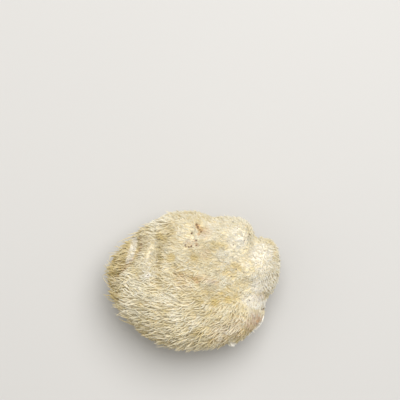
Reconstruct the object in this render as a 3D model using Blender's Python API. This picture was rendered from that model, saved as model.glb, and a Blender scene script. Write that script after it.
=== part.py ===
"""Lion's mane mushroom, as picked: one fruiting body that lies on the flat cut
where it was sliced off its block, with its shaggy front facing up.

Metres, +Z up. The origin is on the surface that the mushroom rests on, under the
middle of its outline. The crown, where growth ran upwards, points to +X and +Y,
so the spines, which hung straight down while it grew, now comb across to -X.
"""

import math

import bmesh
import bpy
import numpy as np
from mathutils import Vector, noise

MM = 0.001

# Driving dimensions of the flesh, in millimetres: rounded lobes that grew together.
# Each is (centre, radii), measured from the middle of the outline at table height.
LOBES = {
    "heart": ((-2.0, 0.3, 24.0), (33.0, 30.0, 20.5)),
    "left_brow": ((-22.5, 4.8, 21.0), (13.0, 14.5, 16.0)),
    "top_knoll": ((-2.0, 19.3, 24.5), (16.5, 15.0, 18.0)),
    "crown": ((15.5, 16.8, 25.0), (15.0, 15.0, 18.5)),
    "right_ear": ((33.0, 7.3, 20.0), (10.2, 13.8, 13.0)),
    "lower_right": ((14.5, -11.2, 22.0), (20.5, 17.5, 17.5)),
    "chin": ((2.0, -15.2, 21.0), (21.5, 15.5, 17.5)),
    "foot": ((7.0, -1.7, 7.0), (20.5, 17.5, 16.0)),
}
LOBE_BLEND = 5.0  # how far two lobes melt into each other where they meet
LUMP_HEIGHT = 0.8
LUMP_SPACING = 11.0
FEEL_STEP = 0.05  # how far apart the skin is felt to find which way it faces

# The skin is a net of triangles, and each triangle stands up as one spine.
NET_POINTS = 1700
NET_START = ((0.0, 0.0, 21.0), (60.0, 54.0, 44.0))  # an egg that holds every lobe
SETTLE_ROUNDS = 6
RELAX_ROUNDS = 40
RELAX_SHARE = 0.5  # how far each point moves to the middle of its neighbours
CUT_SNAP = 0.9  # net points this near the cut are moved onto it

# Spines, in millimetres: long on the side that hung down, short on the crown.
LONG_SPINE = 7.5
SHORT_SPINE = 1.6
CROWN_WAY = Vector((0.80, 0.60, 0.0))
LONG_AT, SHORT_AT = 0.0, 33.0  # millimetres along CROWN_WAY
UNDER_SHARE = 0.6  # spines that face the table are this much shorter
FOOT_BARE = 2.0  # no spines this near the foot's own skin
LIFT = 0.28  # how much a spine stands off the skin; the rest follows the comb
PARTING = Vector((34.0, 15.3, 30.0))  # the comb spreads away from this point
PARTING_PULL = 0.9
TABLE_GAP = 0.6
CREASE_DIP = 0.05  # a face whose neighbours stand this far above it lies in a crease
CREASE_SPINE = 1.2
LENGTH_VARIES = 0.22
VARIES_OVER = 0.6

CREAM = (0.80, 0.71, 0.52, 1.0)


def lobe_distance(points, centre, radii):
    """Distance of each point to one ellipsoid, near its surface."""
    away = points - np.array(centre)
    near = np.linalg.norm(away / np.array(radii), axis=1)
    slope = np.linalg.norm(away / np.square(radii), axis=1)
    return near * (near - 1.0) / np.maximum(slope, 1e-9)


def smooth_union(first, second, blend):
    """The nearer of two distances, rounded where they are within blend."""
    overlap = np.maximum(blend - np.abs(first - second), 0.0) / blend
    return np.minimum(first, second) - overlap * overlap * blend / 4.0


def lumps(points):
    """Gentle unevenness of the flesh."""
    return np.array([noise.noise(Vector(p) / LUMP_SPACING) for p in points]) * LUMP_HEIGHT


def body_distance(points):
    """Distance of each point to the skin of the whole body, negative inside."""
    found = None
    for centre, radii in LOBES.values():
        lobe = lobe_distance(points, centre, radii)
        found = lobe if found is None else smooth_union(found, lobe, LOBE_BLEND)
    return found + lumps(points)


def skin_normals(points):
    """Unit vectors that point straight out of the skin."""
    slopes = [
        body_distance(points + offset) - body_distance(points - offset)
        for offset in np.eye(3) * FEEL_STEP
    ]
    slopes = np.stack(slopes, axis=1)
    return slopes / np.linalg.norm(slopes, axis=1)[:, None]


def onto_skin(points, rounds):
    """Moves points straight onto the skin."""
    for _ in range(rounds):
        points = points - body_distance(points)[:, None] * skin_normals(points)
    return points


def even_directions(count):
    """Unit vectors spread evenly over a sphere, in a sunflower's spiral."""
    turn = math.pi * (3.0 - math.sqrt(5.0))
    index = np.arange(count) + 0.5
    height = 1.0 - 2.0 * index / count
    ring = np.sqrt(1.0 - height * height)
    return np.stack([ring * np.cos(turn * index), ring * np.sin(turn * index), height], axis=1)


def skin_net():
    """A closed net of even triangles that lies on the skin, as a bmesh in millimetres."""
    bm = bmesh.new()
    for way in even_directions(NET_POINTS):
        bm.verts.new(way)
    hull = bmesh.ops.convex_hull(bm, input=bm.verts)
    loose = [item for item in hull["geom_interior"] if isinstance(item, bmesh.types.BMVert)]
    bmesh.ops.delete(bm, geom=loose, context="VERTS")
    bm.verts.ensure_lookup_table()
    bm.verts.index_update()

    centre, radii = NET_START
    points = np.array([vert.co for vert in bm.verts]) * np.array(radii) + np.array(centre)
    points = onto_skin(points, SETTLE_ROUNDS)
    links = np.array([[vert.index for vert in edge.verts] for edge in bm.edges])
    for _ in range(RELAX_ROUNDS):
        points = onto_skin(points, 1)
        pull = np.zeros_like(points)
        count = np.zeros(len(points))
        for here, there in (links.T, links.T[::-1]):
            np.add.at(pull, here, points[there])
            np.add.at(count, here, 1.0)
        points = points + (pull / count[:, None] - points) * RELAX_SHARE
    points = onto_skin(points, SETTLE_ROUNDS)
    for vert, point in zip(bm.verts, points):
        vert.co = point
    bmesh.ops.recalc_face_normals(bm, faces=bm.faces)
    return bm


def slice_foot(bm):
    """Cuts the net flat at table height and closes the cut with one face."""
    for vert in bm.verts:
        if abs(vert.co.z) < CUT_SNAP:
            vert.co.z = 0.0
    everything = list(bm.verts) + list(bm.edges) + list(bm.faces)
    bmesh.ops.bisect_plane(
        bm, geom=everything, dist=1e-4, plane_co=(0, 0, 0), plane_no=(0, 0, 1), clear_inner=True
    )
    rim = [edge for edge in bm.edges if edge.is_boundary]
    bmesh.ops.contextual_create(bm, geom=rim)
    bmesh.ops.recalc_face_normals(bm, faces=bm.faces)


def comb_way(point):
    """The way that hanging spines run past a point, before they meet the skin."""
    spread = (point - PARTING).normalized()
    return (Vector((-1.0, 0.0, 0.0)) + spread * PARTING_PULL).normalized()


def dip(face):
    """How far the faces around this one stand above its plane, on average."""
    centre = face.calc_center_median()
    around = [other for edge in face.edges for other in edge.link_faces if other is not face]
    rises = [(other.calc_center_median() - centre).dot(face.normal) for other in around]
    return sum(rises) / len(rises)


def spine(point, normal, crease):
    """The spine that stands on one face, from its root to its tip, or None where bare."""
    foot_centre, foot_radii = LOBES["foot"]
    from_foot = lobe_distance(np.array([point]), foot_centre, foot_radii)[0]
    if from_foot < FOOT_BARE:
        return None
    crown = (point.dot(CROWN_WAY) - LONG_AT) / (SHORT_AT - LONG_AT)
    crown = min(max(crown, 0.0), 1.0)
    length = LONG_SPINE + (SHORT_SPINE - LONG_SPINE) * crown
    length *= 1.0 - UNDER_SHARE * max(-normal.z, 0.0)
    length *= 1.0 + LENGTH_VARIES * noise.noise(point / VARIES_OVER)
    comb = comb_way(point)
    along = comb - normal * comb.dot(normal)
    lift = LIFT + (1.0 - LIFT) * max(comb.dot(normal), crown)
    way = (normal * lift + along * (1.0 - lift)).normalized()
    if point.z + way.z * length < TABLE_GAP:
        length = (TABLE_GAP - point.z) / way.z
    if crease > CREASE_DIP:
        return normal * min(length, CREASE_SPINE)
    return way * length


def grow_spines(bm):
    """Pulls each face of the skin out to a point, except the cut and the foot."""
    grown = {}
    for face in bm.faces:
        if len(face.verts) == 3:
            root = face.calc_center_median()
            reach = spine(root, face.normal, dip(face))
            if reach is not None:
                grown[face] = root + reach
    made = bmesh.ops.poke(bm, faces=list(grown))
    for vert, tip in zip(made["verts"], grown.values()):
        vert.co = tip


def flesh_material():
    """Ivory, dry and matt."""
    material = bpy.data.materials.new("ivory_flesh")
    material.use_nodes = True
    shader = material.node_tree.nodes["Principled BSDF"]
    shader.inputs["Base Color"].default_value = CREAM
    shader.inputs["Roughness"].default_value = 0.85
    shader.inputs["Metallic"].default_value = 0.0
    return material


def clear_scene():
    for obj in list(bpy.data.objects):
        bpy.data.objects.remove(obj)


def centred(bm):
    """Puts the origin under the middle of the outline, and scales to metres."""
    low = [min(vert.co[axis] for vert in bm.verts) for axis in range(2)]
    high = [max(vert.co[axis] for vert in bm.verts) for axis in range(2)]
    middle = Vector(((low[0] + high[0]) / 2, (low[1] + high[1]) / 2, 0.0))
    for vert in bm.verts:
        vert.co = (vert.co - middle) * MM


def fruiting_body():
    bm = skin_net()
    slice_foot(bm)
    grow_spines(bm)
    centred(bm)
    mesh = bpy.data.meshes.new("fruiting_body")
    bm.to_mesh(mesh)
    bm.free()
    mesh.materials.append(flesh_material())
    body = bpy.data.objects.new("fruiting_body", mesh)
    bpy.context.scene.collection.objects.link(body)
    return body


clear_scene()
fruiting_body()
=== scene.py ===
import math

import bmesh
import bpy
import numpy as np
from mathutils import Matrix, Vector, noise


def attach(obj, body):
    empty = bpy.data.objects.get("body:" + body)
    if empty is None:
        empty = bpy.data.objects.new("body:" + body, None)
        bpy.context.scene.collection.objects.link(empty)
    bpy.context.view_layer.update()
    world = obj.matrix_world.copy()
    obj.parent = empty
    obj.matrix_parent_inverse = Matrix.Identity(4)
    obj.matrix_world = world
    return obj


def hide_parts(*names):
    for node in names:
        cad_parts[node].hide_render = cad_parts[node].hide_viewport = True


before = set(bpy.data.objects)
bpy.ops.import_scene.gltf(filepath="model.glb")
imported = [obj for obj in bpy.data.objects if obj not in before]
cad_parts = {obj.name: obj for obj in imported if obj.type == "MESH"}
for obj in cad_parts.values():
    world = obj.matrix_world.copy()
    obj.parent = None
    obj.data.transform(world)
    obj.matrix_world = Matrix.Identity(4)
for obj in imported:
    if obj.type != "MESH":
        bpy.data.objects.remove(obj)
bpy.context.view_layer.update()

mm = 0.001
scene = bpy.context.scene

# Paths that several settings follow, seen from above. Millimetres, from the middle of the outline.
outerRidge = ((-27.9, 23.0), (-28.8, 17.2), (-30.8, 11.3), (-33.8, 6.0))
innerRidge = ((-20.8, 22.6), (-18.6, 18.4), (-20.6, 13.6), (-22.6, 3.0))
groove = ((-24.0, 21.5), (-24.2, 16.6), (-29.8, 9.4), (-33.4, 3.0))
crease = ((-7.4, 5.2), (-2.0, 3.0), (3.2, 1.2))
cleft = ((2.2, 28.6), (3.8, 26.6), (4.9, 24.2))


def steps(path, *values):
    # one entry for each stretch of a path: its two ends, then the values
    return [(*start, *end, *values) for start, end in zip(path, path[1:])]


# Shape of the flesh under the spines, in millimetres from table height
flesh = {
    # lobes that grew together: centre, radii
    "lobes": {
        "heart": ((-2.7, 0, 24), (33.6, 30, 20.5)),
        "leftBrow": ((-22, 4, 21), (13, 14, 16)),
        "browTop": ((-17.6, 20.2, 21), (6.5, 7.5, 11)),
        "topKnoll": ((-2, 19.3, 24.5), (16.5, 15, 18)),
        "crown": ((16.2, 17, 25), (15, 15, 18.5)),
        "crownCorner": ((23.2, 23.4, 26), (6, 6, 13)),
        "rightEar": ((33.5, 7.2, 21), (9.3, 14.9, 15.2)),
        "shoulder": ((26.5, 8.4, 23.5), (12, 12, 17.2)),
        "lowerRight": ((16, -11.6, 22), (20.3, 17, 17.5)),
        "underEar": ((29.6, -3, 20.6), (6.4, 7, 12.8)),
        "chin": ((1.2, -15, 21), (21.5, 14.9, 17.5)),
        "foot": ((7, -1.7, 7), (20.5, 17.5, 16)),
    },
    "blend": 5.0,  # how far two lobes melt into each other
    "lumps": ((11.0, 1.0), (6.0, 0.7), (3.0, 0.25)),  # spacing and height of each size of lump
    "egg": ((0.0, 0.0, 21.0), (60.0, 54.0, 44.0)),  # the net starts on this egg round all lobes
    "netLevel": 7,
    "settleRounds": 6,  # times the net is drawn onto the lobes before it is evened out
    "relaxRounds": 14,
    "relaxShare": 0.6,  # how far a point moves to the middle of its neighbours
    "lastRounds": 3,
    # cuts into the rim, from top to bottom: the two ends, then half the width at each
    "notches": ((31.6, 18.8, 34.8, 30.0, 0.8, 3.5),),
    "notchBlend": 1.5,
    # folds: the two ends, width, depth (below 0 is a ridge)
    "folds": (
        *steps(outerRidge[:3], 1.5, -1.8), *steps(outerRidge[2:], 1.4, -0.9), *steps(groove[:2], 1.4, 1.2),
        *steps(groove[1:3], 1.5, 1.7), *steps(groove[2:], 1.6, 2), *steps(innerRidge[:3], 2.1, -1.2),
        *steps(innerRidge[2:], 2.1, -1.1), (-15.6, 22, -16.6, 12, 1.5, 1.4),
        (-16.6, 12, -15.6, 0, 1.5, 1.2), *steps(crease[:2], 1.1, 1.8), *steps(crease[1:], 1.1, 1.5),
        (31.5, 23.5, 30, 16, 1.5, 1), *steps(cleft, 1.3, 1.5), (4.9, 24.2, 2.4, 18.7, 1.4, 0.8),
        (34.8, -13, 38, -13.2, 0.5, 1.5),
    ),
    "foldsFace": (-0.2, 0.3),  # folds fade where the skin turns down: none below, full above
    "sharpAngle": 40.0,
}


def lobeDistance(points, centre, radii):
    away = points - np.array(centre)
    near = np.linalg.norm(away / np.array(radii), axis=1)
    slope = np.linalg.norm(away / np.square(radii), axis=1)
    return near * (near - 1.0) / np.maximum(slope, 1e-9)


def nearLine(points, ends):
    # how far each point is from a line seen from above, and how far along it
    start, end = np.array(ends[:2]), np.array(ends[-2:])
    run = end - start
    share = np.clip((points[:, :2] - start) @ run / max(run @ run, 1e-9), 0.0, 1.0)
    return np.linalg.norm(points[:, :2] - start - share[:, None] * run, axis=1), share


def rounding(first, second, blend):
    # how much two surfaces round each other off where they are within blend
    overlap = np.maximum(blend - np.abs(first - second), 0.0) / blend
    return overlap * overlap * blend / 4.0


def bodyDistance(points):
    found = None
    for centre, radii in flesh["lobes"].values():
        lobe = lobeDistance(points, centre, radii)
        if found is None:
            found = lobe
        else:
            found = np.minimum(found, lobe) - rounding(found, lobe, flesh["blend"])
    for *ends, startWide, endWide in flesh["notches"]:
        away, share = nearLine(points, ends)
        inside = startWide + (endWide - startWide) * share - away
        found = np.maximum(found, inside) + rounding(found, inside, flesh["notchBlend"])
    return found


def skinNormals(points, step=0.05):
    slopes = [bodyDistance(points + way) - bodyDistance(points - way) for way in np.eye(3) * step]
    slopes = np.stack(slopes, axis=1)
    return slopes / np.linalg.norm(slopes, axis=1)[:, None]


def ontoSkin(points, rounds):
    for _ in range(rounds):
        points = points - bodyDistance(points)[:, None] * skinNormals(points)
    return points


def noiseAt(points, spacing, shift=0.0):
    offset = Vector((shift, shift, shift))
    return np.array([noise.noise(Vector(p) / spacing + offset) for p in points])


def smooth(values, low, high):
    share = np.clip((values - low) / (high - low), 0.0, 1.0)
    return share * share * (3.0 - 2.0 * share)


def placed(name, data):
    # a new object in the scene
    item = bpy.data.objects.new(name, data)
    scene.collection.objects.link(item)
    return item


def pieceOf(bm, name, *materials):
    # the piece that a bmesh becomes
    bmesh.ops.recalc_face_normals(bm, faces=bm.faces)
    mesh = bpy.data.meshes.new(name)
    bm.to_mesh(mesh)
    bm.free()
    mesh.shade_smooth()
    for material in materials:
        mesh.materials.append(material)
    return placed(name, mesh)


def fleshBody():
    # an even net drawn tight onto the lobes, with lumps and folds, sliced flat at the foot
    bm = bmesh.new()
    bmesh.ops.create_icosphere(bm, subdivisions=flesh["netLevel"], radius=1.0)
    links = np.array([[vert.index for vert in edge.verts] for edge in bm.edges])
    centre, radii = flesh["egg"]
    points = np.array([vert.co for vert in bm.verts]) * np.array(radii) + np.array(centre)
    points = ontoSkin(points, flesh["settleRounds"])
    count = np.bincount(links.ravel(), minlength=len(points))[:, None]
    relax = flesh["relaxShare"]
    for _ in range(flesh["relaxRounds"]):
        pull = np.zeros_like(points)
        for axis in range(3):
            for here, there in (links.T, links.T[::-1]):
                pull[:, axis] += np.bincount(here, weights=points[there, axis], minlength=len(points))
        points = ontoSkin((1.0 - relax) * points + relax * pull / count, 1)
    points = ontoSkin(points, flesh["lastRounds"])
    normals = skinNormals(points)
    shift = np.zeros(len(points))
    for spacing, height in flesh["lumps"]:
        shift -= noiseAt(points, spacing) * height
    facing = smooth(normals[:, 2], *flesh["foldsFace"])
    for *ends, width, depth in flesh["folds"]:
        shift -= depth * facing * np.exp(-np.square(nearLine(points, ends)[0] / width))
    points = points + normals * shift[:, None]
    for vert, point in zip(bm.verts, points):
        vert.co = point * mm
    everything = list(bm.verts) + list(bm.edges) + list(bm.faces)
    bmesh.ops.bisect_plane(bm, geom=everything, dist=1e-6, plane_co=(0, 0, 0), plane_no=(0, 0, 1),
                           clear_inner=True)
    rim = [edge for edge in bm.edges if edge.is_boundary]
    bmesh.ops.triangle_fill(bm, edges=rim, use_beauty=True)
    body = pieceOf(bm, "flesh")
    body.data.set_sharp_from_angle(angle=math.radians(flesh["sharpAngle"]))
    return body


# Where the colour of the flesh changes, seen from above: a place, or the two ends of a line; then how
# far it reaches and how strong it is. Each place here and below is its x and its y.
tints = {
    "ochre": (
        (-15, 22.4, 3.6, 0.85), (-11, 21.8, 2.6, 0.35), (-9.9, 12.7, 3.4, 0.9), (1, 12.2, 4, 0.7),
        (10.2, 19, 16, 18, 3.4, 0.62), (20.5, 9.2, 23, 7.6, 3.2, 0.66), (16.5, 5.6, 20.5, 4.6, 3.4, 0.62),
        (11.4, -9.2, 3.4, 0.85), (17.6, -8.2, 3, 0.85), (14.5, -5, 2.4, 0.6), (-19.8, 30.5, 3.5, 0.6),
        (0.5, 3, 3.6, 0.35), (8, -17.5, 5, 0.3), (-22.5, -16, 4.5, 0.4), (-15, -29, 4.5, 0.45),
        (-40, 6, 9, 0.7), (-38, -4, 8, 0.6), *steps(groove[2:], 2.4, 0.75),
    ),
    "bruise": (
        (31.2, -17.4, 4.8, 0.75), (32.4, -19, 2.2, 1), (28.6, -20.4, 33, -18.6, 4.2, 0.95),
        (6.8, 24.5, 4, 0.6), (6.5, 15, 4.5, 0.3), (-1.6, 19.8, 3, 0.35), (13, -24, 24, -21, 7, 0.3),
        (34, -6.8, 4, 0.3), (-4, 1, 6, 0.25), *steps(crease, 1.8, 0.7), (3, 3.4, 12, 0.6, 1.6, 0.5),
        (-24, 21, -24.2, 16.6, 1.8, 0.7), *steps(groove[1:3], 1.8, 0.6), *steps(groove[2:], 2.4, 0.8),
    ),
    "milk": (
        # (33, -1.5) and the band at y -34 are painted light, on a valley and on the bottom rim that lie in
        # shade
        (22, 22, 20, 1), (-17, 28, 8, 0.6), (33, -1.5, 8, 1), (-22, 23.5, 6, 0.6), (-5, 14, 6.5, 0.7),
        (-25, -1, 8, 0.5), (18.5, -21.5, 6, 0.5), (-28, -12.5, 6, 0.5), (2, -34, 14, -34, 6, 0.7),
        (36, 8, 18, 0.85), (30, -9, 7.5, 0.6), (30.5, -17.5, 6, 0.6), (-3, 26, 9, 0.6), (-16, -6, 12, 0.4),
        (-8, -20, 11, 0.35), (15, 8, 14, 0.4), *steps(outerRidge[:3], 3, 1),
        (-18.6, 18.4, -22.6, 3, 4.4, 0.6),
    ),
    "frost": (
        # (38, -1.5) and (32.5, -1.5) are painted light, on the shaded slopes between the ear and the lower
        # right lobe
        (30, -7.4, 3.4, 0.9), (33.6, -7.8, 3.2, 1), (35.4, -10.6, 3, 1), (28.6, -10.8, 3, 0.8),
        (31.6, -11.4, 3.2, 0.8), (28.8, -15, 3.6, 0.6), (33.5, -15.5, 2.6, 0.5), (25.5, -12, 3.8, 0.4),
        (38, -1.5, 5, 0.72), (27, -8.5, 5, 0.7), (34, -13.4, 2.6, 0.7), (-20.9, 4, 2.6, 0.8),
        *steps(outerRidge[:3], 2.8, 0.74), *steps(outerRidge[2:], 1.8, 0.4), *steps(innerRidge[:3], 3, 0.4),
        *steps(innerRidge[2:], 3.2, 0.5), (36, 4, 12, 0.6), (34, 14, 10, 0.72), (22, 22, 10, 0.62),
        (32.5, -1.5, 6.5, 0.75), (-17, 28.5, 6, 0.5), (10, 27, 5, 0.6), (-5, 24, 5, 0.5),
        (-14, -3, 6, 0.35), (-24, -9, 5, 0.3), (-6, -9, 5, 0.3), (-3, -24, 5, 0.3), (10, -27, 5, 0.3),
        (8, 5, 5, 0.3), (15, 14, 27, 10, 6, 0.5),
    ),
    "straw": (
        *steps(groove[:2], 2, 0.4), *steps(groove[1:3], 2.4, 1), *steps(groove[2:], 2.6, 1),
        (-15.6, 22, -15.6, 0, 2.4, 0.6), (-7.4, 5.2, 3.2, 1.2, 2.2, 0.9), (-30, 24, -42, 2, 12, 1),
        (-42, 2, -41, -12, 10, 1), (-38, -16, -20, -34, 8, 0.75), (-10, -36, 22, -33, 9, 0.05),
        (-14, 25, -10, 22, 5, 0.4), (-22, -19, -12, -22, 6, 0.25), (5, -6.5, 14, -7.5, 5, 0.35),
        (3, -24, 9, -25, 5, 0.4), (-18, -12, -14, -13.5, 5, 0.45), (22, -13, 27, -13.5, 4, 0.4),
        (18, -30, 28, -24, 6, 0.5),
    ),
    "core": 0.35,  # share of its reach over which a tint is even
    "milkFaces": (-0.6, 0.2),  # milk fades where the skin turns down
    "strawHeights": (12.0, 22.0),  # straw comes in between these heights, from the share below
    "strawBelow": 0.15,
}


# How the spines lie. Each guide says, for one place seen from above: which way they are combed, in
# degrees round from +X, how much they stand off the skin (1 is straight out), how long they are,
# how fine they are (1 is the felt of the crown) and how much they gather in tufts.
groom = {
    "guides": (
        (-39, 3, 150, 0.1, 6.6, 0, 1), (-38, -10, 150, 0.05, 7.2, 0, 1), (-28, -21, 154, 0, 7, 0, 0.7),
        (-33, -8, 158, 0, 7.5, 0, 0.5), (-26, -2, 170, 0, 7, 0.2, 0.1), (-20, -10, 172, 0, 7.5, 0.1, 0.2),
        (-16, -26, 176, 0, 7.2, 0, 0.9), (-7, -34, 184, 0.03, 7.5, 0, 0.9), (1, -26, 196, 0.03, 7, 0, 0.9),
        (13, -31, 212, 0.03, 7, 0, 1), (21, -25, 220, 0, 6, 0, 1), (31, -19, 232, 0.05, 2.9, 0.7, 0.3),
        (23, -14, 214, 0.05, 5, 0, 0.8), (32, -9, 215, 0, 2.2, 0.9, 0.1), (11, -12, 204, 0, 6, 0.2, 0.2),
        (-2, -14, 188, 0, 7, 0.1, 0.3), (-8, -4, 175, 0, 6.5, 0.4, 0.1), (0, 3, 166, 0, 5.5, 0.5, 0.1),
        (12, -1, 175, 0, 4.8, 0.6, 0.1), (23, -2, 188, 0, 3.4, 0.7, 0.1), (31, 1, 205, 0.05, 2.9, 0.9, 0.1),
        (-20, 4, 180, 0, 5.5, 0.5, 0.1), (-27, 8, 194, 0.05, 5, 0.5, 0.1),
        (-22.5, 15, 190, 0.05, 3.8, 0.9, 0), (-37, 12, 190, 0.15, 6, 0, 1),
        (-28, 24, 200, 0.2, 5, 0.3, 0.5), (-16, 31, 192, 0.25, 4, 0.4, 0.4),
        (-14, 18, 186, 0.15, 4.2, 0.6, 0.1), (-6, 16, 168, 0.1, 3.4, 0.7, 0.1),
        (0, 27, 180, 0.2, 2.8, 0.8, 0.1), (6, 13, 198, 0, 4.2, 0.6, 0.1), (13, 19, 186, 0, 3.4, 0.9, 0.1),
        (24, 12, 182, 0.05, 2.9, 1, 0.1), (17, 30, 172, 0.1, 2.6, 1, 0.1), (30, 12, 184, 0.15, 2.5, 1, 0.1),
        (41, 12, 320, 0.5, 2, 0.8, 0.9), (42, -1, 285, 0.5, 2.2, 0.7, 0.9),
    ),
    "reach": 5.0,  # how softly one guide gives way to the next
    "underShare": 0.55,  # how much shorter the spines that face the table are
    "footEdge": (0.8, 1.8),  # spines start between these distances from the foot
    "tableEdge": (0.8, 1.6),  # and between these heights
    "facesUp": (-0.1, 0.3),  # marks fade where the skin turns down
    "mostLean": 85.0,  # degrees from straight out of the skin
    "hug": 2.6,  # above 1, spines keep closer to skin that curves away from the comb
    # shorter spines, on ridges and in the notch: the two ends, how far round, by what share
    "shorter": (
        *steps(outerRidge[:3], 2.8, 0.4), *steps(innerRidge[:3], 2.8, 0.3),
        *steps(innerRidge[2:], 2.6, 0.3), (31.9, 19.6, 32.8, 24, 2.4, 0.5), *steps(groove[1:3], 2, 0.3),
        *steps(groove[2:], 2.2, 0.35), (18.6, -27.2, 20.8, -28.4, 2.6, 0.3),
        (30.6, -25.7, 36.2, -17, 3, 0.3), (36.2, -17, 37.8, -6.8, 3, 0.3),
    ),
    "shortCore": 0.4,  # share of that reach over which they are shortest
    "swirls": ((8.0, 0.28), (3.2, 0.3)),  # how wide and how strong the swirls in the comb are
    "feltSwirl": 1.2,  # how much stronger they are in the felt
    # bald spots: the two ends, how far round, how dark the painted shade in them is
    "bald": (
        *steps(cleft, 0.4, 0.75), (2, 21.3, 2.5, 20.9, 0.4, 0.9), (2.4, 18.8, 2.8, 18.4, 0.35, 0.9),
        (-3, 18.6, -3, 18.1, 0.32, 1), (30.3, -22.4, 32.3, -20.4, 0.25, 0.5),
        (-1.4, 17.9, -1.3, 17.8, 0.32, 1), (-0.1, 18.6, 0, 18.1, 0.32, 1),
        (-0.1, 24.7, 0.1, 24.5, 0.35, 0.9), (35.3, -13, 36.6, -13.1, 0.45, 0.6),
    ),
    "baldEdge": (0.8, 1.6),  # shares of its width between which spines start
    # this far round a bald spot, spines are shorter and more upright, by these shares
    "baldReach": 1.4,
    "baldShort": 0.4,
    "baldUpright": 0.25,
}


def guided(points):
    # what the guides around each point say, blended
    places = np.array([guide[:2] for guide in groom["guides"]])
    ways = np.radians([guide[2] for guide in groom["guides"]])
    away = np.linalg.norm(points[:, None, :2] - places[None], axis=2)
    weight = 1.0 / np.square(np.square(away) + groom["reach"] ** 2)
    weight /= weight.sum(axis=1)[:, None]
    way = np.stack([weight @ np.cos(ways), weight @ np.sin(ways), np.zeros(len(points))], axis=1)
    return way, weight @ np.array([guide[3:] for guide in groom["guides"]])


def tintOf(points, name):
    share = np.zeros(len(points))
    for *ends, reach, depth in tints[name]:
        away = nearLine(points, ends)[0]
        share = np.maximum(share, depth * (1.0 - smooth(away, reach * tints["core"], reach)))
    return share


def paintSkin(body):
    # how the spines grow and how the flesh is tinted, held on the skin's points for the nodes to read
    mesh = body.data
    count = len(mesh.vertices)

    def read(name):
        values = np.empty(count * 3)
        mesh.vertices.foreach_get(name, values)
        return values.reshape(-1, 3)

    points = read("co") / mm
    normals = read("normal")
    way, rest = guided(points)
    stand, length, fine, tufted = rest.T
    for size, strength in groom["swirls"]:
        swirls = [noiseAt(points, size, shift) for shift in (3.0, 17.0, 31.0)]
        way += np.stack(swirls, axis=1) * strength * (1.0 + groom["feltSwirl"] * fine)[:, None]
    way /= np.linalg.norm(way, axis=1)[:, None]
    facing = np.sum(way * normals, axis=1)
    along = way - normals * facing[:, None]
    along /= np.maximum(np.linalg.norm(along, axis=1), 1e-6)[:, None]
    off = np.clip(facing, 0.0, 1.0) ** groom["hug"]
    lean = np.minimum(np.degrees(np.arccos(off)), groom["mostLean"]) * (1.0 - stand)
    length *= 1.0 - groom["underShare"] * np.clip(-normals[:, 2], 0.0, 1.0)

    fill = smooth(lobeDistance(points, *flesh["lobes"]["foot"]), *groom["footEdge"])
    fill *= smooth(points[:, 2], *groom["tableEdge"])
    upward = smooth(normals[:, 2], *groom["facesUp"])
    bald = np.zeros(count)
    dark = np.zeros(count)
    near = np.zeros(count)
    inner, outer = groom["baldEdge"]
    for *ends, width, depth in groom["bald"]:
        away = nearLine(points, ends)[0]
        spot = upward * (1.0 - smooth(away, width * inner, width * outer))
        bald = np.maximum(bald, spot)
        dark = np.maximum(dark, spot * depth)
        near = np.maximum(near, upward * (1.0 - smooth(away, width, width + groom["baldReach"])))
    fill *= 1.0 - bald
    length *= 1.0 - groom["baldShort"] * near
    lean *= 1.0 - groom["baldUpright"] * near
    for *ends, width, depth in groom["shorter"]:
        away = nearLine(points, ends)[0]
        cropped = 1.0 - smooth(away, width * groom["shortCore"], width)
        length *= 1.0 - depth * cropped
        fine = np.maximum(fine, cropped)

    below = tints["strawBelow"]
    painted = {
        "spineLength": length * mm,
        "lean": np.radians(lean),
        "fill": fill,
        "fine": fine,
        "tufted": tufted,
        "side": np.degrees(np.arctan2(points[:, 1], points[:, 0])),
        "hurt": dark,
        "milk": tintOf(points, "milk") * smooth(normals[:, 2], *tints["milkFaces"]),
        "straw": tintOf(points, "straw")
        * (below + (1.0 - below) * smooth(points[:, 2], *tints["strawHeights"])),
    }
    for name in ("ochre", "bruise", "frost"):
        painted[name] = tintOf(points, name) * upward
    for name, values in painted.items():
        mesh.attributes.new(name, "FLOAT", "POINT").data.foreach_set("value", values.astype(np.float32))
    mesh.attributes.new("combWay", "FLOAT_VECTOR", "POINT").data.foreach_set(
        "vector", along.astype(np.float32).ravel())


# The finest spines, on the crown, the top and the ear
felt = {"Felt": True, "Spacing": 0.56 * mm, "Tip": 0.14, "Taper": 1.8, "Sides": 4, "Steps": 4,
        "Root Lean": 0.76}
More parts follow.
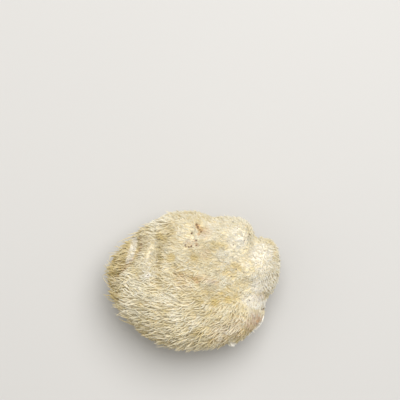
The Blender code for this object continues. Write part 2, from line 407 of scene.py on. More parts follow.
# One dictionary for each patch of spines: how it differs from the plain spine below
mane = {
    "left_spines": {"From": 150.0, "To": 222.0, "Seed": 3},
    "brow_spines": {"From": 60.0, "To": 150.0, "Seed": 5},
    "chin_spines": {"From": 222.0, "To": 290.0, "Seed": 11},
    "cheek_spines": {"From": 290.0, "To": 420.0, "Seed": 13},
    "crown_felt": {**felt, "From": 20.0, "To": 80.0, "Seed": 7},
    "top_felt": {**felt, "From": 80.0, "To": 200.0, "Seed": 8},
    "ear_felt": {**felt, "From": 200.0, "To": 380.0, "Seed": 9},
    "long_spines": {"From": 60.0, "To": 400.0, "Seed": 17, "Spacing": 3.0 * mm, "Stretch": 1.25,
                    "Lift": 0.03, "Curl": 0.32, "Wander": 0.55, "Thickness": 0.36 * mm, "Steps": 9},
}
spine = {
    "From": 0.0,  # degrees round from +X: the part of the skin that a patch covers
    "To": 360.0,
    "Seed": 0,
    "Spacing": 0.8 * mm,
    "Thickness": 0.46 * mm,
    "Felt Thickness": 0.25 * mm,
    "Tip": 0.24,
    "Taper": 2.5,  # how late a strand thins: 1 is a plain cone
    "Sides": 5,
    "Steps": 6,
    "Root Lean": 0.9,
    "Tuft Spacing": 2.7 * mm,
    "Tuft Pull": 0.62,
    "Wander": 0.3,  # radians that a strand strays from the comb
    "Felt Wander": 1.0,
    "Felt": False,
    "Stretch": 1.0,  # how much longer than the guides say
    "Lift": 0.0,  # radians that the tips stand up more than the guides say
    "Curl": 0.13,
    "Wave": 0.09,  # how far a strand weaves from side to side, as a share of its length
    "Waves": 5.5,  # radians of that weave from root to tip
}
# What is the same in every patch. Of each chance, the least and the most.
strand = {
    "lengths": (0.5, 1.12),
    "rises": (-0.26, 0.06),  # radians of lean at the tip
    "girths": (0.8, 1.15),
    "tuftRise": 0.2,  # how much more upright the roots in a tuft are
    "leastBend": 0.02,
    "sunk": 0.3 * mm,  # how deep a root starts
    "tableGap": 0.05 * mm,
    "feltFrom": 0.55,  # as fine as this, a spine is felt
    "mostRoots": 6e6,  # to the square metre, before they are spaced
}


class Tree:
    # writes a node tree: each node comes from one call, and maths is written as expressions
    def __init__(self, tree):
        self.tree = tree

    def add(self, kind, settings=None, inputs=None, out=0):
        node = self.tree.nodes.new(kind)
        for name, value in (settings or {}).items():
            if name == "stops":
                while len(node.color_ramp.elements) < len(value):
                    node.color_ramp.elements.new(1.0)
                for element, (position, colour) in zip(node.color_ramp.elements, value):
                    element.position = position
                    element.color = colour
            else:
                setattr(node, name, value)
        self.feed(node, inputs or {})
        return Wire(self, node.outputs[out])

    def feed(self, node, inputs):
        # gives a node its inputs, each a wire or a plain value
        for name, value in inputs.items():
            if isinstance(value, Wire):
                self.tree.links.new(value.socket, node.inputs[name])
            else:
                node.inputs[name].default_value = value

    def maths(self, operation, *values):
        return self.add("ShaderNodeMath", {"operation": operation}, dict(enumerate(values)))

    def vector(self, operation, *values, out=0):
        return self.add("ShaderNodeVectorMath", {"operation": operation}, dict(enumerate(values)), out)

    def scaled(self, vector, size):
        return self.add("ShaderNodeVectorMath", {"operation": "SCALE"}, {0: vector, "Scale": size})

    def mixed(self, share, first, second, blend="MIX"):
        return self.add("ShaderNodeMix", {"data_type": "RGBA", "blend_type": blend, "clamp_factor": True},
                        {0: share, 6: first, 7: second}, 2)

    def clamped(self, value):
        return self.add("ShaderNodeClamp", {}, {0: value})

    def between(self, value, low, high):
        return self.add("ShaderNodeMapRange", {}, {0: value, 1: low, 2: high})

    def ramp(self, value, low, high):
        # black up to low, white from high
        stops = ((low, (0, 0, 0, 1)), (high, (1, 1, 1, 1)))
        return self.add("ShaderNodeValToRGB", {"stops": stops}, {0: value})

    def held(self, name):
        # a value that the piece's points hold
        return self.add("ShaderNodeAttribute", {"attribute_name": name}, {}, 2)

    def noise(self, place, size, detail=2.0):
        return self.add("ShaderNodeTexNoise", {}, {"Vector": place, "Scale": 1.0 / size, "Detail": detail})

    def shade(self, inputs):
        self.feed(self.tree.nodes["Principled BSDF"], inputs)


def operator(operation, swapped=False):
    # what an operator does with a wire and another wire or a number
    def act(wire, other):
        return wire.maker.maths(operation, *((other, wire) if swapped else (wire, other)))
    return act


class Wire:
    # one socket, with the operators that the trees below use
    def __init__(self, maker, socket):
        self.maker = maker
        self.socket = socket

    __add__ = __radd__ = operator("ADD")
    __sub__ = operator("SUBTRACT")
    __rsub__ = operator("SUBTRACT", swapped=True)
    __mul__ = __rmul__ = operator("MULTIPLY")
    __truediv__ = operator("DIVIDE")
    __pow__ = operator("POWER")

    def output(self, index):
        # another output of the same node
        return Wire(self.maker, self.socket.node.outputs[index])


def spineTree():
    tree = bpy.data.node_groups.new("growSpines", "GeometryNodeTree")
    for name in ("Geometry", "Material"):
        tree.interface.new_socket(name, in_out="INPUT", socket_type="NodeSocket" + name)
    for name, value in spine.items():
        kind = {bool: "Bool", int: "Int", float: "Float"}[type(value)]
        tree.interface.new_socket(name, in_out="INPUT", socket_type="NodeSocket" + kind)
    tree.interface.new_socket("Geometry", in_out="OUTPUT", socket_type="NodeSocketGeometry")
    make = Tree(tree)
    given = tree.nodes.new("NodeGroupInput")
    wants = {socket.name: Wire(make, socket) for socket in given.outputs if socket.name}

    def held(name, kind="FLOAT"):
        return make.add("GeometryNodeInputNamedAttribute", {"data_type": kind}, {"Name": name})

    def store(geometry, name, value, kind="FLOAT"):
        return make.add("GeometryNodeStoreNamedAttribute", {"data_type": kind, "domain": "POINT"},
                        {"Geometry": geometry, "Name": name, "Value": value})

    def chance(low, high, seed):
        return make.add("FunctionNodeRandomValue", {"data_type": "FLOAT"},
                        {2: low, 3: high, "Seed": wants["Seed"] + seed}, 1)

    def scatter(spacing, fill, seed):
        return make.add("GeometryNodeDistributePointsOnFaces", {"distribute_method": "POISSON"},
                        {"Mesh": wants["Geometry"], "Distance Min": spacing,
                         "Density Max": strand["mostRoots"], "Density Factor": fill,
                         "Seed": wants["Seed"] + seed})

    # roots, each with its own chances
    roots = scatter(wants["Spacing"], held("fill"), 0)
    normal = roots.output(1)
    here = make.add("GeometryNodeInputPosition")
    roots = store(roots, "skinWay", normal, "FLOAT_VECTOR")
    roots = store(roots, "root", here, "FLOAT_VECTOR")
    fine = held("fine")
    wander = wants["Wander"] + fine * (wants["Felt Wander"] - wants["Wander"])
    girth = wants["Thickness"] + fine * (wants["Felt Thickness"] - wants["Thickness"])
    for name, value in (
        ("tone", chance(0.0, 1.0, 11)),
        ("reach", chance(*strand["lengths"], 12) * held("spineLength") * wants["Stretch"]),
        ("turn", chance(-1.0, 1.0, 13) * wander),
        ("rise", chance(*strand["rises"], 14)),
        ("curl", chance(-1.0, 1.0, 15) * wants["Curl"]),
        ("girth", chance(*strand["girths"], 16) * girth),
        ("phase", chance(0.0, 6.28, 17)),
    ):
        roots = store(roots, name, value)

    # tufts: each spine leans towards the nearest of some wider-spaced points
    tufts = scatter(wants["Tuft Spacing"], 1.0, 1)
    nearest = make.add("GeometryNodeSampleNearest", {"domain": "POINT"}, {"Geometry": tufts})
    tuftRoot = make.add("GeometryNodeSampleIndex", {"data_type": "FLOAT_VECTOR", "domain": "POINT"},
                        {"Geometry": tufts, "Value": here, "Index": nearest})
    lock = make.add("FunctionNodeRandomValue", {"data_type": "FLOAT"}, {"ID": nearest, "Seed": 5}, 1)
    roots = store(roots, "lock", lock)
    pull = held("tufted") * wants["Tuft Pull"]
    roots = store(roots, "tuft", make.scaled(make.vector("SUBTRACT", tuftRoot, here), pull), "FLOAT_VECTOR")

    # keep the roots on this patch of the skin
    turned = make.maths("FLOORED_MODULO", held("side") - wants["From"], 360.0)
    beyond = make.maths("GREATER_THAN", turned, wants["To"] - wants["From"])
    felted = make.maths("GREATER_THAN", fine, strand["feltFrom"])
    outside = make.maths("MAXIMUM", beyond, make.maths("ABSOLUTE", felted - wants["Felt"]))
    roots = make.add("GeometryNodeDeleteGeometry", {"domain": "POINT"},
                     {"Geometry": roots, "Selection": outside})

    # a straight strand for each root
    line = make.add("GeometryNodeCurvePrimitiveLine", {"mode": "POINTS"},
                    {"Start": (0, 0, 0), "End": (0, 0, 1)})
    line = make.add("GeometryNodeResampleCurve", {}, {"Curve": line, "Count": wants["Steps"] + 1})
    strands = make.add("GeometryNodeInstanceOnPoints", {}, {"Points": roots, "Instance": line})
    strands = make.add("GeometryNodeRealizeInstances", {}, {"Geometry": strands})

    # bend it over along an arc, from its lean at the root to its lean at the tip
    share = make.add("GeometryNodeSplineParameter")
    reach = held("reach")
    tipLean = held("lean") + held("rise") - wants["Lift"]
    rootLean = tipLean * (wants["Root Lean"] - strand["tuftRise"] * held("tufted"))
    bend = make.maths("MAXIMUM", tipLean - rootLean, strand["leastBend"])
    now = rootLean + bend * share
    outward = (make.maths("SINE", now) - make.maths("SINE", rootLean)) / bend * reach
    onward = (make.maths("COSINE", rootLean) - make.maths("COSINE", now)) / bend * reach
    skinWay = held("skinWay", "FLOAT_VECTOR")
    combWay = make.add("ShaderNodeVectorRotate", {"rotation_type": "AXIS_ANGLE"},
                       {"Vector": held("combWay", "FLOAT_VECTOR"), "Axis": skinWay, "Angle": held("turn")})
    sideWay = make.vector("CROSS_PRODUCT", skinWay, combWay)
    weave = make.maths("SINE", share * wants["Waves"] + held("phase")) * wants["Wave"] * share
    spot = held("root", "FLOAT_VECTOR")
    for way, far in (
        (skinWay, outward - strand["sunk"]),
        (combWay, onward),
        (held("tuft", "FLOAT_VECTOR"), share * share),
        (sideWay, (share * share * held("curl") + weave) * reach),
    ):
        spot = make.vector("ADD", spot, make.scaled(way, far))

    # thick at the root, thinning to a soft point, and never below the table
    slim = (1.0 - share ** wants["Taper"] * (1.0 - wants["Tip"])) * held("girth")
    apart = make.add("ShaderNodeSeparateXYZ", {}, {0: spot})
    height = make.maths("MAXIMUM", apart.output(2), slim + strand["tableGap"])
    spot = make.add("ShaderNodeCombineXYZ", {}, {0: apart, 1: apart.output(1), 2: height})
    strands = make.add("GeometryNodeSetPosition", {}, {"Geometry": strands, "Position": spot})
    strands = store(strands, "tipward", share)
    # each point takes the tints of the skin below it
    for tint in ("ochre", "bruise", "milk", "frost", "straw"):
        under = make.add("GeometryNodeSampleNearestSurface", {"data_type": "FLOAT"},
                         {"Mesh": wants["Geometry"], "Value": held(tint)})
        strands = store(strands, tint, under)
    ring = make.add("GeometryNodeCurvePrimitiveCircle", {"mode": "RADIUS"},
                    {"Resolution": wants["Sides"], "Radius": 1.0})
    body = make.add("GeometryNodeCurveToMesh", {},
                    {"Curve": strands, "Profile Curve": ring, "Fill Caps": True, "Scale": slim})
    body = make.add("GeometryNodeSetShadeSmooth", {}, {"Geometry": body})
    body = make.add("GeometryNodeRealizeInstances", {}, {"Geometry": body})
    body = make.add("GeometryNodeSetMaterial", {}, {"Geometry": body, "Material": wants["Material"]})
    result = tree.nodes.new("NodeGroupOutput")
    tree.links.new(body.socket, result.inputs["Geometry"])
    return tree


def growSpines(body, tree, name, patch, material):
    modifier = body.modifiers.new("spines", "NODES")
    modifier.node_group = tree
    wanted = {**spine, **patch, "Material": material}
    for item in tree.interface.items_tree:
        if item.in_out == "INPUT" and item.name in wanted:
            modifier[item.identifier] = wanted[item.name]
    bpy.context.view_layer.update()
    evaluated = body.evaluated_get(bpy.context.evaluated_depsgraph_get())
    mesh = bpy.data.meshes.new_from_object(evaluated)
    body.modifiers.remove(modifier)
    for spare in ("combWay", "skinWay", "root", "tuft", "reach", "turn", "rise", "curl", "girth", "phase",
                  "side", "lean", "fill", "fine", "spineLength", "hurt"):
        if spare in mesh.attributes:
            mesh.attributes.remove(mesh.attributes[spare])
    mesh.name = name
    triangles = sum(len(face.vertices) - 2 for face in mesh.polygons)
    print(name, len(mesh.polygons), "faces", triangles, "triangles")
    return placed(name, mesh)


# Spines that stand clear of the rest along the left edge, each drawn from its root to its tip
strays = {
    "paths": (
        ((-24, 25.4, 27), (-27.5, 24.6, 27.5), (-31.9, 23.6, 26.5)),
        ((-27, 23.2, 27), (-31, 22.2, 27), (-34.2, 20.9, 26), (-37.2, 19.7, 25)),
        ((-32, 14.6, 27), (-35, 16.4, 27), (-37.3, 17.8, 26), (-38.6, 17.2, 25.2)),
        ((-33, 14.4, 26), (-37, 14.4, 26), (-41.6, 14.5, 24.5)),
        ((-34, 12.5, 25), (-37.4, 13.4, 25.5), (-39.6, 13.2, 25), (-40.8, 11.9, 24.6), (-40.8, 10.5, 24.4)),
        ((-34.5, 6.6, 25), (-38, 7.8, 25), (-40.8, 9.2, 24), (-42.2, 11, 23)),
        ((-36, 4.6, 24), (-39.6, 5.8, 24), (-41.8, 7.2, 23), (-43.3, 9.1, 22)),
        ((-37, 4.2, 24), (-40.4, 4.8, 24), (-43.6, 5.6, 23)),
        ((-38, -3.2, 24), (-41.6, -1, 24), (-43.4, 0.8, 23), (-44.7, 2.9, 22)),
        ((-35, -10.6, 24), (-38.5, -9.9, 24), (-41.2, -8.8, 23), (-43.2, -6.4, 22)),
        ((-35.8, -8.8, 24), (-38.3, -11, 23), (-40, -13.2, 22)),
        ((-33, -12.4, 24), (-35.6, -15, 23), (-37.9, -17.5, 21.6)),
        ((-30, -20.6, 24), (-33.4, -19.8, 23), (-36.4, -18.4, 22)),
    ),
    "thick": 0.34,  # radius at the root
    "tip": 0.07,
    "taper": 1.5,
    "straw": 0.45,  # how much of the darker straw colour they take
    "lock": 0.5,  # neither a pale lock nor a dark one
    "toneStep": 0.37,  # from one spine to the next
    "steps": 9,
    "sides": 7,
}


def curvePoint(path, share):
    # a smooth curve through the points of a path
    spot = share * (len(path) - 1)
    index = min(int(spot), len(path) - 2)
    part = spot - index
    around = [Vector(path[min(max(index + step, 0), len(path) - 1)]) for step in (-1, 0, 1, 2)]
    before, start, end, after = around
    return 0.5 * (2 * start + (end - before) * part + (2 * before - 5 * start + 4 * end - after) * part ** 2
                  + (3 * start - before - 3 * end + after) * part ** 3)


def closeTube(bm, rings):
    # a skin over rings of points, closed at both ends
    count = len(rings[0])
    for low, high in zip(rings, rings[1:]):
        for side in range(count):
            after = (side + 1) % count
            bm.faces.new((low[side], low[after], high[after], high[side]))
    bm.faces.new(rings[0])
    bm.faces.new(rings[-1])


def straySpines(material):
    bm = bmesh.new()
    layers = [bm.verts.layers.float.new(name) for name in ("tipward", "tone", "lock", "straw")]
    last, sides = strays["steps"], strays["sides"]
    for number, path in enumerate(strays["paths"]):
        rings = []
        tone = (number * strays["toneStep"]) % 1.0
        spots = [curvePoint(path, step / last) for step in range(last + 1)]
        for step, spot in enumerate(spots):
            share = step / last
            ahead = spots[min(step + 1, last)] - spots[max(step - 1, 0)]
            across = ahead.cross(Vector((0.0, 0.0, 1.0))).normalized()
            upward = across.cross(ahead).normalized()
            radius = strays["thick"] + (strays["tip"] - strays["thick"]) * share ** strays["taper"]
            ring = []
            for side in range(sides):
                turn = 2.0 * math.pi * side / sides
                spoke = across * math.cos(turn) + upward * math.sin(turn)
                vert = bm.verts.new((spot + spoke * radius) * mm)
                for layer, value in zip(layers, (share, tone, strays["lock"], strays["straw"])):
                    vert[layer] = value
                ring.append(vert)
            rings.append(ring)
        closeTube(bm, rings)
    return pieceOf(bm, "stray_spines", material)


# The torn lower right edge: small white flakes of flesh between the spines, and thin pale lips
torn = {
    "edge": ((18.8, -32.3), (22.2, -30.8), (26.0, -28.9), (30.6, -25.7), (34.2, -21.5), (36.2, -17.0),
             (36.5, -13.6), (36.9, -10.0), (37.8, -6.8)),
    "middle": (2.0, 2.0),  # flakes and lips face away from here
    "flakes": 62,
    "height": 22.0,
    "heightVaries": 2.5,
    "size": (0.62, 0.22, 0.95),  # half the width, thickness and length of a flake
    "grows": (0.6, 1.1),  # the smallest and the largest
    "tilt": 0.3,
    "taper": 0.75,  # how much narrower its outer end is
    "inward": 0.75,  # how far its middle lies inside the edge
    "inwardVaries": 0.5,
    "rough": 0.5,
    "roughGrain": 1.7,
    "apart": 3.1,  # how different the roughness of two flakes is
    "toneStep": 0.29,
    "chipAt": 0.07,  # the flakes are larger round this share of the edge
    "chipReach": 0.05,
    "chipGrows": 0.9,
    "chipHeight": 2.0,
    "chipBlunt": 0.6,  # how much less they narrow
    "seed": 23,
    "lips": ((0.42, 0.735), (0.765, 0.985)),  # start and end, as shares of the edge
    "lipSteps": 48,
    "lipSides": 10,
    "lipHeight": 23.4,
    "lipSize": (0.4, 0.5),  # half its thickness and half its height
    "lipInward": 0.3,
    "lipEnds": 0.02,  # how blunt its ends are
    "lipSwells": (0.6, 0.8),  # how fast it swells from its ends, and how unevenly
    "lipWavy": (1.8, 0.5),  # spacing and size of its unevenness
    "lipRagged": (3.4, 1.5),  # spacing and size of its ups and downs
    "lipTones": (0.8, 0.4),  # how pale it is, and how unevenly
}


def edgePoint(share, height):
    # a point of the torn edge, and the way out from it
    spot = curvePoint([(*place, height) for place in torn["edge"]], share)
    x, y = torn["middle"]
    return spot, Vector((spot.x - x, spot.y - y, 0.0)).normalized()


def growLip(bm, start, end):
    # a thin standing lip of flesh that tapers away at both ends
    tipward = bm.verts.layers.float["tipward"]
    thick, tall = torn["lipSize"]
    spacing, size = torn["lipWavy"]
    raggedSpacing, raggedSize = torn["lipRagged"]
    power, uneven = torn["lipSwells"]
    tone, toneVaries = torn["lipTones"]
    rings = []
    for step in range(torn["lipSteps"] + 1):
        part = step / torn["lipSteps"]
        spot, out = edgePoint(start + (end - start) * part, torn["lipHeight"])
        wave = noise.noise(spot / spacing)
        spot += out * (wave * size - torn["lipInward"])
        spot.z += noise.noise(spot / raggedSpacing) * raggedSize
        swell = math.sin(math.pi * (torn["lipEnds"] + (1.0 - 2.0 * torn["lipEnds"]) * part)) ** power
        swell *= 1.0 + uneven * noise.noise(spot / spacing + out)
        ring = []
        for side in range(torn["lipSides"]):
            turn = 2.0 * math.pi * side / torn["lipSides"]
            spoke = out * math.cos(turn) * thick + Vector((0.0, 0.0, math.sin(turn) * tall))
            place = spot + spoke * swell
            vert = bm.verts.new(place * mm)
            vert[tipward] = tone + toneVaries * noise.noise(place / spacing)
            ring.append(vert)
        rings.append(ring)
    closeTube(bm, rings)


def tornEdge(material):
    chance = np.random.default_rng(torn["seed"])
    bm = bmesh.new()
    tone = bm.verts.layers.float.new("tone")
    tipward = bm.verts.layers.float.new("tipward")
    for start, end in torn["lips"]:
        growLip(bm, start, end)
    for number in range(torn["flakes"]):
        share = number / (torn["flakes"] - 1)
        chip = math.exp(-((share - torn["chipAt"]) / torn["chipReach"]) ** 2)
        spot, out = edgePoint(share, torn["height"])
        spot -= out * (torn["inward"] + chance.uniform(0.0, torn["inwardVaries"]))
        spot.z += chance.uniform(-1.0, 1.0) * torn["heightVaries"] + chip * torn["chipHeight"]
        grow = chance.uniform(*torn["grows"]) + chip * torn["chipGrows"]
        taper = torn["taper"] * (1.0 - torn["chipBlunt"] * chip)
        tilt = chance.uniform(-torn["tilt"], torn["tilt"])
        flat = Vector((0.0, 0.0, 1.0)).lerp(out, tilt).normalized()
        across = flat.cross(out).normalized()
        apart = Vector((number * torn["apart"], 0.0, 0.0))
        made = bmesh.ops.create_icosphere(bm, subdivisions=2, radius=1.0)
        for vert in made["verts"]:
            wide, thick, long = [half * grow * value for half, value in zip(torn["size"], vert.co)]
            outer = 0.5 + 0.5 * vert.co.z
            slim = 1.0 - taper * outer
            lump = 1.0 + torn["rough"] * noise.noise(vert.co * torn["roughGrain"] + apart)
            vert[tone] = (number * torn["toneStep"]) % 1.0
            vert[tipward] = outer
            vert.co = (spot + ((across * wide + flat * thick) * slim + out * long) * lump) * mm
    return pieceOf(bm, "torn_edge", material)


# Colours, from the light that falls through a tip to the shade between two roots
finish = {
    "tip": (0.86, 0.81, 0.67, 1.0),
    "shaft": (0.82, 0.75, 0.57, 1.0),
    "low": (0.79, 0.70, 0.49, 1.0),
    "root": (0.73, 0.61, 0.38, 1.0),
    "shade": (0.48, 0.34, 0.10, 1.0),
    "flesh": (0.79, 0.68, 0.43, 1.0),
    "cut": (0.84, 0.78, 0.64, 1.0),
    "milk": (0.86, 0.835, 0.725, 1.0),
    "frost": (0.86, 0.84, 0.79, 1.0),
    "chip": (0.92, 0.91, 0.88, 1.0),
    "straw": (0.60, 0.49, 0.24, 1.0),
    # painted shade of the gaps between tufts, for the darker locks at the left edge
    "lockShade": (0.36, 0.28, 0.11, 1.0),
    "ochre": (0.66, 0.52, 0.22, 1.0),
    "bruise": (0.66, 0.45, 0.34, 1.0),
    # dark brown of spots, and painted shade in pits, slits and bald spots
    "shadeAndDirt": (0.16, 0.09, 0.05, 1.0),
    "rust": (0.72, 0.36, 0.10, 1.0),
    # small marks: place seen from above or in space, radius, strength
    "rustMarks": (
        (3, 27.9, 1.3, 0.35), (4.3, 26.2, 1.2, 0.3), (3.4, 24, 0.9, 0.3), (1.4, 20.7, 0.6, 0.3),
        (2.4, 19.2, 1, 0.3), (32.6, -19.2, 0.9, 0.4),
    ),
    # dark marks: brown spots along the cleft, and painted shade in small pits and in two slits of the torn
    # edge (the six given in space)
    "shadeAndDirtMarks": (
        (2.3, 28.7, 0.6, 0.7), (3.1, 27.5, 0.7, 0.7), (4.6, 25.4, 0.5, 0.6), (0, 24.5, 0.5, 0.9),
        (2.1, 21, 0.45, 0.8), (-3.1, 18.8, 0.35, 1), (-1.6, 17.9, 0.35, 1), (-0.1, 18.2, 0.4, 1),
        (2.2, 18.5, 0.4, 0.6), (28.5, -8.5, 0.34, 0.8), (31.7, -11.1, 0.3, 0.8), (27.2, -14.7, 0.36, 0.8),
        (25.2, -15.5, 0.3, 0.7), (29.6, -6.6, 0.26, 0.6), (33.2, -9.2, 0.26, 0.6), (26.6, -12.9, 0.26, 0.6),
        (36, -5.2, 0.34, 0.7), (19.4, 3.5, 0.36, 0.8), (24, -4.6, 0.4, 0.7), (21.8, 7, 0.32, 0.8),
        (33.9, -6.4, 0.26, 0.7), (30.9, -6.4, 0.26, 0.7), (28.7, -5.2, 0.26, 0.7), (27.3, -6.6, 0.24, 0.7),
        (25.6, -16.2, 0.26, 0.7), (26.8, -16.4, 0.26, 0.7), (24.3, -14.4, 0.26, 0.7),
        (22.5, -24.4, 0.4, 0.6), (25.7, -9.4, 0.24, 0.6), (23.4, -10, 0.24, 0.6),
        (30.7, -22, 28.2, 0.55, 0.8), (31.4, -21.3, 29.2, 0.6, 0.9), (32.1, -20.6, 28.7, 0.5, 0.7),
        (34.9, -13.5, 26.2, 0.7, 0.8), (35.6, -13.6, 24.9, 0.8, 0.9), (36.3, -13.6, 22.8, 0.9, 1),
    ),
    "marksAbove": 20.0 * mm,  # marks lie on what is higher than this
    "markEdge": (1.15, 2.5),  # how far past its radius a mark reaches, and how sharply it ends
    "patchSize": 9.0 * mm,
    "strawPatch": (0.42, 0.68),  # from no straw colour to the most of it
    "palePatch": (0.5, 0.7),
    "ragged": (0.75, 2.6),  # how broken the edge of a tint is, and how sharp
    "mottle": (6.0, 2.6),  # how sharply a bruise is mottled, and how much of it is clear
    "specks": (2.6 * mm, 0.13, 0.55),  # how far apart, how wide, and the share left out
    "soak": {  # light soaks in
        "Subsurface Weight": 0.28,
        "Subsurface Radius": (1.0, 0.85, 0.65),
        "Subsurface Scale": 0.6 * mm,
        "IOR": 1.4,
        "Specular IOR Level": 0.35,
    },
}


def newMaterial(name):
    # a material, what writes its nodes, and the place in space that they start from
    material = bpy.data.materials.new(name)
    material.use_nodes = True
    make = Tree(material.node_tree)
    return material, make, make.add("ShaderNodeTexCoord", {}, {}, 3)


def ragged(make, mask, grain):
    # a soft mask with its edge broken up
    broken, sharp = finish["ragged"]
    return make.add("ShaderNodeMath", {"operation": "MULTIPLY", "use_clamp": True},
                    {0: mask - grain * broken, 1: sharp})


def marked(make, place, colour):
    # small dark and rusty marks, each at its own place: the dark ones are painted shade in pits and slits,
    # and brown spots along the cleft
    flat = make.vector("MULTIPLY", place, (1.0, 1.0, 0.0))
    height = make.add("ShaderNodeSeparateXYZ", {}, {0: place}, 2)
    above = make.maths("GREATER_THAN", height, finish["marksAbove"])
    grain = make.noise(place, 0.5 * mm)
    reach, sharp = finish["markEdge"]
    for kind in ("rust", "shadeAndDirt"):
        found = 0.0
        for *spot, radius, strength in finish[kind + "Marks"]:
            centre = [value * mm for value in spot]
            if len(spot) == 3:
                away = make.vector("DISTANCE", place, centre, out=1)
            else:
                away = make.vector("DISTANCE", flat, centre + [0.0], out=1)
            near = make.clamped((reach - away / (radius * mm)) * sharp)
            found = make.maths("MAXIMUM", near * strength, found)
        colour = make.mixed(found * above * (grain * 0.9 + 0.5), colour, finish[kind])
    return colour


def tinted(make, place, colour, milky, tipward):
    # the patches of colour that run across flesh and spines alike
    milk = make.held("milk")
    cloud = make.ramp(make.noise(place, finish["patchSize"]), *finish["strawPatch"])
    colour = make.mixed(cloud * (0.5 - milk * 0.3), colour, finish["straw"])
    elsewhere = make.vector("ADD", place, (0.31, 0.17, 0.05))
    pale = make.ramp(make.noise(elsewhere, finish["patchSize"] * 0.8), *finish["palePatch"])
    fleck = make.noise(place, 2.0 * mm, 3.0)
    sharp, clear = finish["mottle"]
    mottle = make.clamped(make.noise(place, 1.1 * mm) * sharp - clear)
    for share, name in (
        (pale * 0.4 * tipward, "milk"),
        (milk * milky * tipward, "milk"),
        (make.held("straw") * 0.62, "straw"),
        (ragged(make, make.held("frost"), fleck) * 0.8 * tipward, "frost"),
        (ragged(make, make.held("ochre"), fleck) * 0.6, "ochre"),
        (make.held("bruise") * (mottle * 0.7 + 0.14), "bruise"),
    ):
        colour = make.mixed(share, colour, finish[name])
    # dark specks, most of them on the pale felt: painted shade of tiny pits
    apart, width, leftOut = finish["specks"]
    speck = make.add("ShaderNodeTexVoronoi", {}, {"Vector": place, "Scale": 1.0 / apart})
    chosen = make.add("ShaderNodeSeparateColor", {}, {0: speck.output(1)})
    dot = make.maths("LESS_THAN", speck, width) * make.maths("GREATER_THAN", chosen, leftOut)
    return marked(make, place, make.mixed(dot * (milk * 0.6 + 0.15), colour, finish["shadeAndDirt"]))


def ivorySpines():
    material, make, place = newMaterial("ivorySpines")
    along, tone, lock, straw = [make.held(name) for name in ("tipward", "tone", "lock", "straw")]
    # darker and browner towards the root: partly the spines' own colour, partly painted shade where the
    # roots lie under other spines
    stops = ((0.0, finish["root"]), (0.3, finish["low"]), (0.65, finish["shaft"]), (1.0, finish["tip"]))
    colour = make.add("ShaderNodeValToRGB", {"stops": stops}, {0: along})
    for share, name in (
        ((1.0 - along) * (make.held("tufted") * 0.34 + straw * 0.5), "shade"),  # between the roots
        (make.clamped(0.16 - tone * 0.9), "straw"),  # the darkest spines
        (make.clamped(tone * 1.1 - 0.97), "frost"),  # the palest spines
        (make.clamped((0.48 - lock) * 1.1), "straw"),  # darker locks
        (make.clamped((lock - 0.6) * 1.1) * (1.0 - straw * 0.5), "milk"),  # paler locks
        # darker locks where the straw tint is strong, darker towards the root: painted shade of the gaps
        # between tufts
        (make.clamped((0.46 - lock) * 2.8) * straw * (1.0 - along * 0.4), "lockShade"),
    ):
        colour = make.mixed(share, colour, finish[name])
    # the roots take less of the pale tints, so they keep that painted shade
    colour = tinted(make, place, colour, milky=0.55, tipward=along * 0.65 + 0.35)
    worn = make.noise(place, 1.6 * mm, 3.0) * 0.26 + 0.85
    colour = make.mixed(1.0, colour, worn, "MULTIPLY")
    rough = make.noise(place, 3.0 * mm) * 0.2 + 0.5
    make.shade({"Base Color": colour, "Roughness": rough, **finish["soak"]})
    return material


def tornFlesh():
    material, make, place = newMaterial("tornFlesh")
    grain = make.noise(place, 0.5 * mm, 4.0)
    colour = make.mixed(grain, finish["frost"], finish["chip"])
    colour = make.mixed((1.0 - make.held("tipward")) * 0.6, colour, finish["low"])
    bump = make.add("ShaderNodeBump", {}, {"Strength": 0.5, "Distance": 0.2 * mm, "Height": grain})
    rough = grain * 0.2 + 0.55
    make.shade({"Base Color": colour, "Roughness": rough, "Normal": bump, **finish["soak"]})
    return material


def ivoryFlesh():
    material, make, place = newMaterial("ivoryFlesh")
    grain = make.noise(place, 0.7 * mm, 4.0)
    colour = make.mixed(grain, finish["low"], finish["flesh"])
    # the flesh takes little of the milk tint, so it stays darker where it shows between the spines: its own
    # colour and painted shade
    colour = tinted(make, place, colour, milky=0.15, tipward=1.0)
    # painted shade in the bald spots of the cleft, the pits and the slits
    colour = make.mixed(make.held("hurt"), colour, finish["shadeAndDirt"])
    # the cut: white and spongy, with round pores, browner towards its edge
    height = make.add("ShaderNodeSeparateXYZ", {}, {0: place}, 2)
    cut = make.maths("LESS_THAN", height, 0.2 * mm)
    centre, radii = flesh["lobes"]["foot"]
    spread = [1.0 / (radius * mm) for radius in radii[:2]] + [0.0]
    out = make.vector("MULTIPLY", make.vector("SUBTRACT", place, [value * mm for value in centre]), spread)
    edge = make.between(make.vector("LENGTH", out, out=1), 0.6, 0.92)
    pores = make.add("ShaderNodeTexVoronoi", {}, {"Vector": place, "Scale": 1.0 / (1.3 * mm)})
    pore = make.between(pores, 0.18, 0.38)
    inside = make.mixed(edge * 0.55, finish["cut"], finish["straw"])
    inside = make.mixed(make.noise(place, 3.0 * mm, 4.0) * 0.5, inside, finish["milk"])
    inside = make.mixed((1.0 - pore) * 0.6, inside, finish["low"])
    # and the flesh is drier down there
    dry = make.between(height + grain * 1.5 * mm, 4.0 * mm, 1.0 * mm)
    colour = make.mixed(cut, make.mixed(dry * 0.5, colour, finish["ochre"]), inside)
    relief = grain + cut * pore * 1.5
    bump = make.add("ShaderNodeBump", {}, {"Strength": 0.5, "Distance": 0.3 * mm, "Height": relief})
    rough = grain * 0.25 + 0.6
    make.shade({"Base Color": colour, "Roughness": rough, "Normal": bump, **finish["soak"]})
    return material


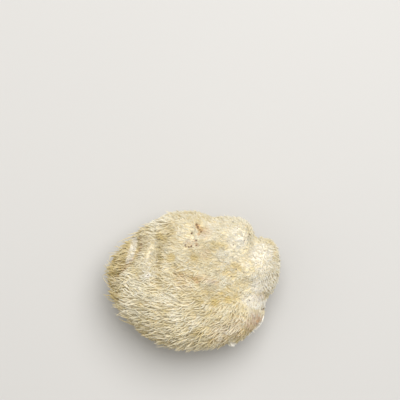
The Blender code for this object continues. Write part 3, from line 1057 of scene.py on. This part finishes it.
# Floor, light and camera
studio = {
    "floorTone": (0.55, 0.55, 0.55, 1.0),
    "floorOther": (0.58, 0.58, 0.58, 1.0),
    "floorHalf": 1.5,
    "floorDrop": 0.0002,
    "cameraOver": (4.1, 40.8),  # millimetres: the camera looks straight down at this point of the table
    "focusHeight": 20.0,
    "distance": 900.0,
    "shows": 200.0,  # width of the view at the focus height
    "sensor": 36.0,
    # place, size, power and colour
    "lights": {
        "window": ((0.20, 0.40, 1.0), 0.9, 12.5, (1.0, 0.985, 0.965)),
        "fill": ((-0.6, 0.1, 0.9), 1.4, 2.3, (1.0, 0.95, 0.86)),
    },
    "aim": (0, 0, 0.02),
    "room": {"Color": (1.0, 0.96, 0.88, 1.0), "Strength": 0.4},
}


def paleFloor():
    material, make, place = newMaterial("paleFloor")
    colour = make.mixed(make.noise(place, 0.25), studio["floorTone"], studio["floorOther"])
    make.shade({"Base Color": colour, "Roughness": 0.65})
    return material


print("flesh")
body = fleshBody()
paintSkin(body)
print("spines")
tree = spineTree()
spineFinish = ivorySpines()
pieces = [growSpines(body, tree, name, patch, spineFinish) for name, patch in mane.items()]
print("loose spines and torn edge")
pieces.append(straySpines(spineFinish))
pieces.append(tornEdge(tornFlesh()))
body.data.materials.append(ivoryFlesh())
for piece in [body] + pieces:
    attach(piece, "root")
    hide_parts("fruiting_body")


def makeFloor():
    mesh = bpy.data.meshes.new("floor")
    size = studio["floorHalf"]
    corners = [(-size, -size, 0), (size, -size, 0), (size, size, 0), (-size, size, 0)]
    mesh.from_pydata(corners, [], [(0, 1, 2, 3)])
    mesh.materials.append(paleFloor())
    floor = placed("floor", mesh)
    floor.location.z = -studio["floorDrop"]


def makeLight(name, place, size, power, colour):
    data = bpy.data.lights.new(name, "AREA")
    data.shape = "DISK"
    data.size = size
    data.energy = power
    data.color = colour
    light = placed(name, data)
    light.location = place
    light.rotation_euler = (Vector(studio["aim"]) - Vector(place)).to_track_quat("-Z", "Y").to_euler()


def makeCamera():
    data = bpy.data.cameras.new("camera")
    data.sensor_width = studio["sensor"]
    data.lens = data.sensor_width * studio["distance"] / studio["shows"]
    camera = placed("camera", data)
    x, y = studio["cameraOver"]
    camera.location = Vector((x, y, studio["focusHeight"] + studio["distance"])) * mm
    scene.camera = camera


print("studio")
makeFloor()
for name, light in studio["lights"].items():
    makeLight(name, *light)
makeCamera()
world = bpy.data.worlds.new("room")
world.use_nodes = True
for name, value in studio["room"].items():
    world.node_tree.nodes["Background"].inputs[name].default_value = value
scene.world = world
scene.view_settings.view_transform = "Standard"
